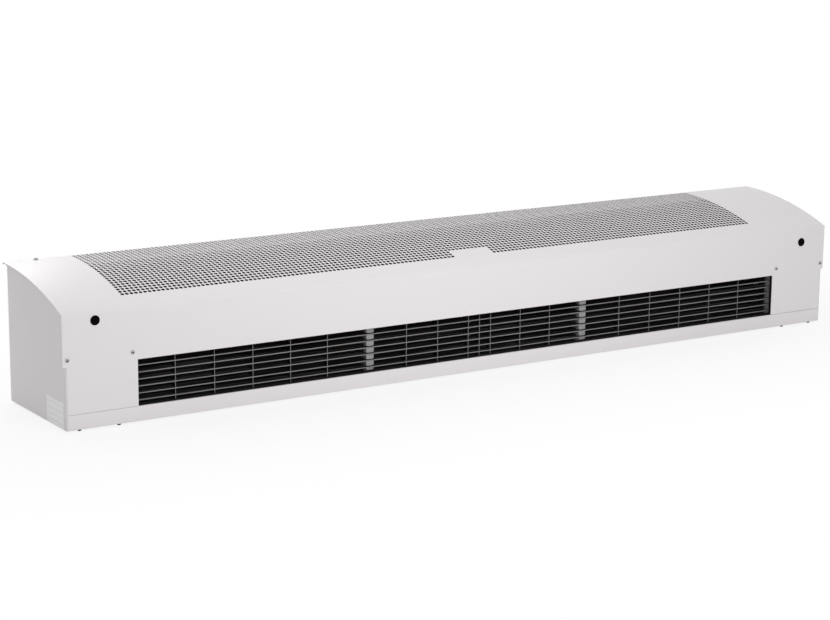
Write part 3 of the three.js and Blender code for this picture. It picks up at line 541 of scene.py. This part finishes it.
def roundHole(x, s, radius, half, sides=24, punched=False):
    return dict(x=x, s=s, radius=radius, half=half, sides=sides, punched=punched)


def screwHoles(section, nodes, sizes):
    holes = []
    for node in nodes:
        place = centre(node)
        s = section.find(place.y, 0)
        holes.append(roundHole(place.x, s, sizes["screwHole"], [sizes["block"]] * 2))
    return holes


def sheetMetal(name, section, thickness, across, along, holes, isKept=None, clipped=()):
    # A flat pattern of cells between lines across (x) and along (section length), with round
    # holes and clipped corners, folded along the section and given its thickness.
    for hole in holes:
        across = [*across, hole["x"] - hole["half"][0], hole["x"] + hole["half"][0]]
        along = [*along, hole["s"] - hole["half"][1], hole["s"] + hole["half"][1]]
    across, along = distinct(across), distinct(along)
    flat, loops, grid, taken, punched = [], [], {}, set(), set()

    def corner(i, j):
        if (i, j) not in grid:
            grid[i, j] = len(flat)
            flat.append((across[i], along[j]))
        return grid[i, j]

    firstCorner = -0.75 * math.pi  # where a hole's block has its lowest corner
    for hole in holes:
        x, s, radius, sides = hole["x"], hole["s"], hole["radius"], hole["sides"]
        columns = indices(across, x - hole["half"][0], x + hole["half"][0])
        rows = indices(along, s - hole["half"][1], s + hole["half"][1])
        taken.update((i, j) for i in columns[:-1] for j in rows[:-1])
        border = [
            [corner(i, rows[0]) for i in columns],
            [corner(columns[-1], j) for j in rows],
            [corner(i, rows[-1]) for i in reversed(columns)],
            [corner(columns[0], j) for j in reversed(rows)],
        ]
        first = len(flat)
        for step in range(sides):
            angle = 2 * math.pi * step / sides + firstCorner
            flat.append((x + radius * math.cos(angle), s + radius * math.sin(angle)))
        if hole["punched"]:
            punched.update(range(first, first + sides))
        for quarter, side in enumerate(border):
            start = quarter * sides // 4
            ring = [first + (start + k) % sides for k in range(sides // 4 + 1)]
            loops.append(side + ring[::-1])

    lost = {(indices(across, x, x)[0], indices(along, s, s)[0]): which for x, s, which in clipped}
    for i in range(len(across) - 1):
        for j in range(len(along) - 1):
            x, s = (across[i] + across[i + 1]) / 2, (along[j] + along[j + 1]) / 2
            if (i, j) in taken or (isKept and not isKept(x, s)):
                continue
            cell = [corner(i, j), corner(i + 1, j), corner(i + 1, j + 1), corner(i, j + 1)]
            if (i, j) in lost:
                cell.pop(lost[i, j])
            loops.append(cell)

    used = sorted({v for loop in loops for v in loop})
    count = len(used)
    new = {v: k for k, v in enumerate(used)}
    edges = {(loop[k - 1], loop[k]) for loop in loops for k in range(len(loop))}
    walls = sorted((b, a) for a, b in edges if (b, a) not in edges)
    places = {s: section.at(s) for s in {flat[v][1] for v in used}}
    points = []
    for depth in (0, thickness):
        for v in used:
            place, outward = places[flat[v][1]]
            point = place - outward * depth
            points.append((flat[v][0], point[0], point[1]))
    faces = [[new[v] for v in loop] for loop in loops]
    faces += [[new[v] + count for v in reversed(loop)] for loop in loops]
    faces += [[new[b], new[a], new[a] + count, new[b] + count] for b, a in walls]
    marks = [0] * (2 * len(loops)) + [int(a in punched and b in punched) for b, a in walls]
    return meshObject(name, points, faces, marks)


cover = millimetres(
    bottom=31.6, openingTop=127.3, openingHalf=834, legEdge=986.7, ear=128, earCut=2.5, fold=234,
    sheet=1.2, foldRadius=2.2, lipRadius=1.6, lipDrop=4.8, returnRadius=1.4, returnRun=9.93,
    returnHalf=988, archStep=12, screwHole=2.2, plugHole=7.8, screwBlock=4, plugBlock=10,
    rearBlock=3)
coverAngles = dict(returnTurn=71.2, smooth=25)
punch = dict(
    radius=4 * mm, pitch=10 * mm, rowPitch=10.36 * mm, columns=164, rows=24, sides=16,
    firstRow=51.4 * mm, firstColumn=152.5 * mm, padRows=3, padColumns=(80, 90))

archRise = crownHeight - cover["fold"]
archRadius = (coverDepth ** 2 + archRise ** 2) / (2 * archRise)


def coverHoles(archStart, archLength):
    holes = []
    for side in ("left", "right"):
        for which in ("outer", "inner"):
            place = centre(f"cover_screw_{side}_{which}")
            block = [cover["screwBlock"]] * 2
            holes.append(roundHole(place.x, place.z - cover["bottom"], cover["screwHole"], block))
        place = centre(f"hole_plug_{side}")
        block = [cover["plugBlock"]] * 2
        holes.append(roundHole(place.x, place.z - cover["bottom"], cover["plugHole"], block))
    place = centre("rear_screw")
    arcLength = archStart + archLength - (coverDepth - place.y)
    holes.append(roundHole(place.x, arcLength, cover["screwHole"], [cover["rearBlock"]] * 2))
    cell = (punch["pitch"] / 2, punch["rowPitch"] / 2)
    for row in range(punch["rows"]):
        for column in range(punch["columns"]):
            if row < punch["padRows"] and column in range(*punch["padColumns"]):
                continue
            x = -halfCover + punch["firstColumn"] + column * punch["pitch"]
            s = archStart + punch["firstRow"] + row * punch["rowPitch"]
            holes.append(roundHole(x, s, punch["radius"], cell, punch["sides"], True))
    return holes


def frontCover():
    bottom, openingHalf = cover["bottom"], cover["openingHalf"]
    foldRadius, lipRadius = cover["foldRadius"], cover["lipRadius"]
    returnRadius, returnTurn = cover["returnRadius"], coverAngles["returnTurn"]
    angle = math.asin(coverDepth / archRadius)
    tangent = foldRadius * math.tan((math.pi / 2 - angle) / 2)
    section = Section(0, bottom, 90).run(cover["fold"] - bottom - tangent)
    section.bend(foldRadius, 90 - math.degrees(angle - tangent / archRadius))
    archStart, archLength = section.length - tangent, archRadius * angle
    section.bend(archRadius, math.degrees(angle - (tangent + lipRadius) / archRadius))
    section.bend(lipRadius, 90 + math.degrees(lipRadius / archRadius))
    returnTangent = returnRadius * math.tan(math.radians(returnTurn / 2))
    section.run(cover["lipDrop"] - lipRadius - returnTangent)
    returnStart = section.length
    section.bend(returnRadius, returnTurn).run(cover["returnRun"] - returnTangent)

    across = [0]
    earEdge = halfCover - cover["earCut"]
    for x in (halfCover, earEdge, cover["legEdge"], cover["returnHalf"], openingHalf):
        across += [-x, x]
    openingTop, earLow = cover["openingTop"] - bottom, cover["ear"] - bottom
    earHigh = cover["ear"] + cover["earCut"] - bottom
    archSteps = int(punch["firstRow"] / cover["archStep"])
    along = section.lines() + [openingTop, earLow, earHigh]
    along += [archStart + i * cover["archStep"] for i in range(1, archSteps)]

    def isKept(x, s):
        if s > returnStart:
            return abs(x) < cover["returnHalf"]
        if s < earLow:
            return abs(x) < cover["legEdge"] and (abs(x) > openingHalf or s > openingTop)
        return True

    clipped = [(-halfCover, earLow, 0), (earEdge, earLow, 1)]
    holes = coverHoles(archStart, archLength)
    piece = sheetMetal(
        "frontCover", section, cover["sheet"], across, along, holes, isKept, clipped)
    holeWall = extraFinishes["holeWall"]
    installed(piece, ["front_cover"], marked=holeWall, smooth=coverAngles["smooth"])


frontCover()
print("cover folded and punched")

rail = millimetres(
    sill=3, top=31, flange=20, half=986.7, sheet=1.2, radius=2, screwHole=2.2, block=4)
panel = millimetres(
    flange=20, level=287, lip=7, half=988, sheet=1.2, radius=2, block=4, screwHole=2.2,
    cableHole=11.3, cableBlock=16)
cableHoleSides = 40


def lowerRail():
    bend = rail["radius"]
    section = Section(rail["flange"], 0, 180).run(rail["flange"] - bend).bend(bend, 90)
    section.run(rail["top"] - 2 * bend).bend(bend, 90).run(rail["sill"] - bend)
    nodes = [f"base_screw_front_{side}_{i}" for side in ("left", "right") for i in (1, 2)]
    across, holes = [-rail["half"], rail["half"]], screwHoles(section, nodes, rail)
    piece = sheetMetal("lowerRail", section, rail["sheet"], across, section.lines(), holes)
    installed(piece, ["lower_rail"])


def rearPanel():
    bend, depth = panel["radius"], casingBox("rear_panel")[1].y - panel["lip"]
    section = Section(depth + panel["lip"], panel["level"], 180)
    section.run(panel["lip"] - bend).bend(bend, -90)
    section.run(panel["level"] - 2 * bend).bend(bend, 90).run(panel["flange"] - bend)
    nodes = [f"base_screw_rear_{side}_1" for side in ("left", "right")]
    across, holes = [-panel["half"], panel["half"]], screwHoles(section, nodes, panel)
    cable = centre("cable_grommet")
    s, block = section.find(depth, cable.z), [panel["cableBlock"]] * 2
    holes.append(roundHole(cable.x, s, panel["cableHole"], block, cableHoleSides))
    piece = sheetMetal("rearPanel", section, panel["sheet"], across, section.lines(), holes)
    installed(piece, ["rear_panel"])


lowerRail()
rearPanel()
print("rail and rear panel folded")

forward, downward = Matrix.Rotation(math.pi / 2, 4, "X"), Matrix.Rotation(math.pi, 4, "X")
upward = Matrix.Identity(4)
endPlate = millimetres(
    outer=989.5, inner=988.3, under=1.5, sheet=1.2, rear=282, hornHeight=281.7, hornTop=284.9,
    cornerRadius=2.4, stripTop=127.4, stripInner=987, stripDepth=6, flangeInner=963.5,
    flangeLow=(3, 29.5), flangeHigh=(31.3, 226), screwHole=2.2, drill=(3, 4), edge=0.25)
endPlateSteps = dict(arch=40, corner=8, drill=24)


def archHeight(depth, under):
    reach = math.sqrt((archRadius - under) ** 2 - (coverDepth - depth) ** 2)
    return crownHeight - archRadius + reach


def sidePlate(side, sign):
    sizes = endPlate
    inner, outer, under = sizes["inner"], sizes["outer"], sizes["under"]
    rearEdge, steps, radius = coverDepth - under, endPlateSteps["arch"], sizes["cornerRadius"]
    arch = [rearEdge + (under - rearEdge) * i / steps for i in range(steps + 1)]
    outline = [
        (radius, 0), (sizes["rear"], 0), (sizes["rear"], sizes["hornHeight"]),
        (rearEdge, sizes["hornTop"])]
    outline += [(depth, archHeight(depth, under)) for depth in arch]
    outline += [(under, sizes["stripTop"]), (radius, sizes["stripTop"])]
    piece = prism("sidePlate_" + side, outline, *sorted((sign * inner, sign * outer)))

    # The strip in front turns a rounded corner, and two flanges carry the cover's screws.
    corner = arc((outer - radius, radius), radius, 270, 360, endPlateSteps["corner"])
    back = under + sizes["sheet"]
    strip = [(sizes["stripInner"], 0), *corner, (outer, sizes["stripDepth"]),
             (inner, sizes["stripDepth"]), (inner, back), (sizes["stripInner"], back)]
    strip = [(sign * x, y) for x, y in strip][::sign]
    parts = [prism("strip", strip, 0, sizes["stripTop"], "Z")]
    ends = (sign * sizes["flangeInner"], sign * (inner + sizes["sheet"] / 2))
    for heights in (sizes["flangeLow"], sizes["flangeHigh"]):
        parts.append(box("flange", ends, (under, back), heights))
    combined(piece, parts, "UNION")

    place, (depth, reach) = centre(f"cover_screw_{side}_outer"), sizes["drill"]
    drill = lathe("drill", [(0, -reach), (sizes["screwHole"], -reach), (sizes["screwHole"], reach),
                            (0, reach)], endPlateSteps["drill"])
    drill.data.transform(Matrix.Translation((place.x, depth, place.z)) @ forward)
    combined(piece, [drill], "DIFFERENCE")
    rounded(piece, sizes["edge"], segments=1, angle=50)
    installed(piece, ["side_plate_" + side])


for side, sign in (("left", -1), ("right", 1)):
    sidePlate(side, sign)
print("end plates cut")

coverScrew = millimetres(head=4, height=2.6, shank=1.9, length=9)
rearScrew = millimetres(head=4.75, height=3, shank=1.9, length=9.6)
baseScrew = millimetres(head=4.2, height=3.2, shank=1.9, length=9)
screwForm = dict(  # in shares of the shank, or of the head's radius and height
    gap=0.3 * mm, edge=0.12 * mm, over=0.5 * mm, sides=40, tip=0.5,
    dome=[(1, 0), (1, 0.2), (0.96, 0.48), (0.86, 0.74), (0.68, 0.9), (0.4, 0.98), (0, 1)],
    recessFloor=0.5, recessFoot=0.36, recessMouth=0.7, recessHalf=0.15,
    shadeWithin=0.6, shadeUnder=0.86, shadeOverGap=0.5)


def screwOn(node, screw, turn, spin, material=None):
    # Pan head with a cross recess, standing a hair clear of the sheet it holds.
    head, height, shank, length = screw.values()
    form, gap = screwForm, screwForm["gap"]
    outward = turn @ Vector((0, 0, 1))
    low, high = casingBox(node)
    place = (low + high) / 2
    outermost = max(low.dot(outward), high.dot(outward))
    place += outward * (outermost - height - gap - place.dot(outward))
    tip = (form["tip"] * shank, -length)
    profile = [(0, -length), tip, (shank, -length + shank), (shank, gap)]
    profile += [(head * across, gap + height * up) for across, up in form["dome"]]
    piece = lathe("screw_" + node, profile, form["sides"])
    deep, over = gap + form["recessFloor"] * height, gap + height + form["over"]
    foot, mouth, half = (head * form[key] for key in ("recessFoot", "recessMouth", "recessHalf"))
    slots = []
    for quarter in (0, 1):
        outline = [(-foot, deep), (foot, deep), (mouth, over), (-mouth, over)]
        slot = prism("slot", outline, -half, half)
        slot.data.transform(Matrix.Rotation(quarter * math.pi / 2, 4, "Z"))
        slots.append(slot)
    combined(piece, slots, "DIFFERENCE")
    rounded(piece, form["edge"], segments=1, angle=40)
    # The faces in the cross recess take black plastic: painted shade in the recess.
    shadeLow, shadeHigh = form["shadeOverGap"] * gap, gap + form["shadeUnder"] * height
    for polygon in piece.data.polygons:
        middle = polygon.center
        isNear = math.hypot(middle.x, middle.y) < form["shadeWithin"] * head
        polygon.material_index = int(isNear and shadeLow < middle.z < shadeHigh)
    turned = Matrix.Translation(place) @ turn @ Matrix.Rotation(math.radians(spin), 4, "Z")
    piece.data.transform(turned)
    installed(piece, [node], material=material, marked=finishes["black_plastic"])


spins, rearSpin = random.Random(7), 20
for node in sorted(frame["nodes"]):
    if node.startswith("cover_screw"):
        screwOn(node, coverScrew, forward, spins.uniform(0, 90))
    elif node.startswith("base_screw"):
        screwOn(node, baseScrew, downward, spins.uniform(0, 90), extraFinishes["darkScrew"])
    elif node == "rear_screw":
        screwOn(node, rearScrew, upward, rearSpin)

plug = dict(  # the rim in shares of the flange and of how far it stands proud
    gap=0.3 * mm, neck=7.5 * mm, neckLength=7 * mm, flange=10 * mm, proud=1.6 * mm, sides=48,
    snap=[(0, -1), (0.8, -1), (0.97, -0.6), (0.9, -0.3), (0.97, 0)],
    rim=[(1, 0), (1, 0.3), (0.975, 0.62), (0.93, 0.85), (0.87, 0.97), (0.8, 1), (0.74, 0.96),
         (0.66, 0.8), (0.4, 0.76), (0, 0.76)])


def holePlug(node):  # domed snap-in plug with a shallow dish
    place = centre(node)
    place.y = 0
    profile = [(plug["neck"] * across, plug["neckLength"] * up) for across, up in plug["snap"]]
    profile.append((profile[-1][0], plug["gap"]))
    for across, up in plug["rim"]:
        profile.append((plug["flange"] * across, plug["gap"] + plug["proud"] * up))
    piece = lathe("plug_" + node, profile, plug["sides"])
    piece.data.transform(Matrix.Translation(place) @ forward)
    installed(piece, [node])


labelCorner = dict(radius=2 * mm, steps=5)


def ratingLabel():
    low, high = casingBox("rating_label")
    radius = labelCorner["radius"]
    front, rear, foot, top = low.y + radius, high.y - radius, low.z + radius, high.z - radius
    outline = []
    for y, z, start in ((rear, foot, -90), (rear, top, 0), (front, top, 90), (front, foot, 180)):
        outline += arc((y, z), radius, start, start + 90, labelCorner["steps"])
    installed(prism("ratingLabel", outline, low.x, high.x), ["rating_label"])


grommet = dict(sides=40, **millimetres(bore=7, waist=11, lip=2.2, boreEdge=0.6, rimEdge=0.8))


def cableGrommet():
    low, high = casingBox("cable_grommet")
    place = (low + high) / 2
    half, rim = (high.y - low.y) / 2, (high.x - low.x) / 2
    bore, waist, lip = grommet["bore"], grommet["waist"], grommet["lip"]
    boreEdge, rimEdge = grommet["boreEdge"], grommet["rimEdge"]
    profile = [
        (bore + boreEdge, -half), (rim - rimEdge, -half), (rim, -half + rimEdge),
        (rim, lip - half), (waist, lip - half), (waist, half - lip), (rim, half - lip),
        (rim, half - rimEdge), (rim - rimEdge, half), (bore + boreEdge, half),
        (bore, half - boreEdge), (bore, boreEdge - half)]
    piece = lathe("cableGrommet", profile, grommet["sides"])
    piece.data.transform(Matrix.Translation(place) @ forward)
    installed(piece, ["cable_grommet"])


for side in ("left", "right"):
    holePlug("hole_plug_" + side)
ratingLabel()
cableGrommet()
print("fasteners and small pieces made")

blade = dict(
    count=6, tilt=16, noseSteps=8, tailSteps=4,
    **millimetres(pitch=14.4, first=38, front=17, chord=21, nose=1.2, tail=0.7))
rib = dict(noseSteps=6, **millimetres(half=1, front=17.5, depth=12, bottom=30.3, top=129))
ribPlaces = millimetres(outer=(743, 654, 565, 476, 387), middle=(0, 29.5, 109.5, 190))
comb = millimetres(middle=282, half=9, barFront=24, barRear=47, gap=0.3, edge=0.3)
tooth = dict(
    cornerSteps=4, **millimetres(front=17.5, rear=26, corner=2.975, over=3.7, lowest=32.5))
moduleEnd = millimetres(teeth=(834, 842), bar=(834, 849))
grilleSmooth = 40
bladeHeights = [blade["first"] + i * blade["pitch"] for i in range(blade["count"])]


def bladeOutline(height, grow=0):
    nose, tail = blade["nose"], blade["tail"]
    section = arc((nose, 0), nose + grow, 90, 270, blade["noseSteps"])
    section += arc((blade["chord"] - tail, 0), tail + grow, -90, 90, blade["tailSteps"])
    tilt = math.radians(blade["tilt"])
    cos, sin = math.cos(tilt), math.sin(tilt)
    return [(blade["front"] + u * cos - v * sin, height + u * sin + v * cos) for u, v in section]


def toothRow(low, high):
    # Teeth that hang from each blade, with their lower corners rounded off.
    corner, steps = tooth["corner"], tooth["cornerSteps"]
    bottoms = [tooth["lowest"], *[height + tooth["over"] for height in bladeHeights]]
    teeth = []
    for bottom, top in zip(bottoms, [*bladeHeights, rib["top"]]):
        left = arc((low + corner, bottom + corner), corner, 180, 270, steps)
        right = arc((high - corner, bottom + corner), corner, 270, 360, steps)
        outline = [(low, top), *left, *right, (high, top)]
        teeth.append(prism("tooth", outline, tooth["front"], tooth["rear"], "Y"))
    return teeth


def grilleBar(name, ends):  # the upright that the teeth and blades end in
    return box(name, ends, (comb["barFront"], comb["barRear"]), (rib["bottom"], rib["top"]))


def grilleModule(which, places, ends):
    low, high = casingBox("grille_" + which)
    reach = moduleEnd["teeth"][1]
    start, end = max(low.x, -reach), min(high.x, reach)
    parts = [prism("blade", bladeOutline(height), start, end) for height in bladeHeights]
    for x in places:
        front = arc((x, rib["front"] + rib["half"]), rib["half"], 180, 360, rib["noseSteps"])
        rear = rib["front"] + rib["depth"]
        outline = [*front, (x + rib["half"], rear), (x - rib["half"], rear)]
        parts.append(prism("rib", outline, rib["bottom"], rib["top"], "Z"))
    for sign in ends:
        parts.append(grilleBar("bar", [sign * x for x in moduleEnd["bar"]]))
        parts += toothRow(*sorted(sign * x for x in moduleEnd["teeth"]))
    piece = combined(parts[0], parts[1:], "UNION")
    piece.name = "grille_module_" + which
    installed(piece, ["grille_" + which], smooth=grilleSmooth)


def grilleComb(side, sign):
    x, half = sign * comb["middle"], comb["half"]
    ends = (x - half, x + half)
    piece = grilleBar("comb_" + side, ends)
    combined(piece, toothRow(*ends), "UNION")
    slots = []
    for height in bladeHeights:
        outline = bladeOutline(height, comb["gap"])
        slots.append(prism("slot", outline, x - 2 * half, x + 2 * half))
    combined(piece, slots, "DIFFERENCE")
    rounded(piece, comb["edge"], segments=2, angle=60)
    finish = extraFinishes["comb"]
    installed(piece, ["grille_comb_" + side], material=finish, smooth=grilleSmooth)


outerRibs, middleRibs = ribPlaces["outer"], ribPlaces["middle"]
grilleModule("left", [-x for x in outerRibs], [-1])
grilleModule("middle", [*middleRibs, *[-x for x in middleRibs[1:]]], [])
grilleModule("right", outerRibs, [1])
for side, sign in (("left", -1), ("right", 1)):
    grilleComb(side, sign)
print("grille assembled")

floor = dict(
    half=14, level=-0.6 * mm, colour=(0.93, 0.93, 0.93), roughness=0.9,
    glow=0.82, near=0.3, far=0.9, stretch=(0.4, 1, 1))
studio = dict(
    sky=0.45,
    lamps=[
        dict(name="above", place=(0.9, 0.9, 2.8), aim=(0, 0.05, 0.1), size=(3.0, 2.0), power=18),
        dict(name="front", place=(-0.15, -2.0, 1.0), aim=(-0.15, 0, 0.14), size=(1.2, 1.0),
             power=18.5),
        dict(name="rear", place=(-0.9, 1.35, 1.15), aim=(-0.85, 0.1, 0.29), size=(1.2, 0.8),
             power=11),
    ])
view = dict(
    place=(-2.6565, -3.9993, 1.1598), tilt=77.6746, turn=-32.7163, roll=0.4977, lens=94.9396,
    sensor=36, near=0.05, far=60)


def stage():
    # Pale paper that keeps the object's shadow near it and turns white further out.
    half, level = floor["half"], floor["level"]
    corners = [(-half, -half), (half, -half), (half, half), (-half, half)]
    piece = meshObject("floor", [(x, y, level) for x, y in corners], [(0, 1, 2, 3)])
    finish = Finish("floorPaper", floor["colour"])
    finish.surface(colour=floor["colour"], roughness=floor["roughness"])
    spread = finish.place * floor["stretch"]
    away = finish.add("VectorMath", {"operation": "LENGTH"}, [spread], "Value")
    glow = finish.ease(away, floor["near"], floor["far"], floor["glow"])
    white = finish.add("Emission", None, {"Color": (1, 1, 1), "Strength": 1.0})
    paper = Wire(finish, finish.shader.outputs[0])
    mixed = finish.add("MixShader", None, [finish.seen() * glow, paper, white])
    finish.plug(mixed, finish.tree.nodes["Material Output"].inputs["Surface"])
    piece.data.materials.append(finish.material)


def world():
    # White to the camera and in reflections, dimmer as light.
    sky = bpy.data.worlds.new("studio")
    bpy.context.scene.world = sky
    sky.use_nodes = True
    nodes, background = Nodes(sky.node_tree), sky.node_tree.nodes["Background"]
    levels = {"Value": nodes.seen(), "To Min": studio["sky"], "To Max": 1.0}
    nodes.plug((1, 1, 1), background.inputs["Color"])
    nodes.plug(nodes.add("MapRange", None, levels), background.inputs["Strength"])


def lamp(name, place, aim, size, power):
    light = bpy.data.lights.new(name, "AREA")
    light.shape, light.energy = "RECTANGLE", power
    light.size, light.size_y = size
    holder = bpy.data.objects.new(name, light)
    bpy.context.scene.collection.objects.link(holder)
    direction = Vector(aim) - Vector(place)
    holder.rotation_euler = direction.to_track_quat("-Z", "Y").to_euler()
    holder.location = place


def camera():
    lens = bpy.data.cameras.new("view")
    lens.lens, lens.sensor_width, lens.sensor_fit = view["lens"], view["sensor"], "HORIZONTAL"
    lens.clip_start, lens.clip_end = view["near"], view["far"]
    holder = bpy.data.objects.new("view", lens)
    bpy.context.scene.collection.objects.link(holder)
    stand = Matrix.Translation(view["place"])
    for key, axis in (("turn", "Z"), ("tilt", "X"), ("roll", "Z")):
        stand = stand @ Matrix.Rotation(math.radians(view[key]), 4, axis)
    holder.matrix_world = stand
    bpy.context.scene.camera = holder


stage()
world()
for values in studio["lamps"]:
    lamp(**values)
camera()
bpy.context.scene.view_settings.view_transform = "Standard"
print("stage lit")
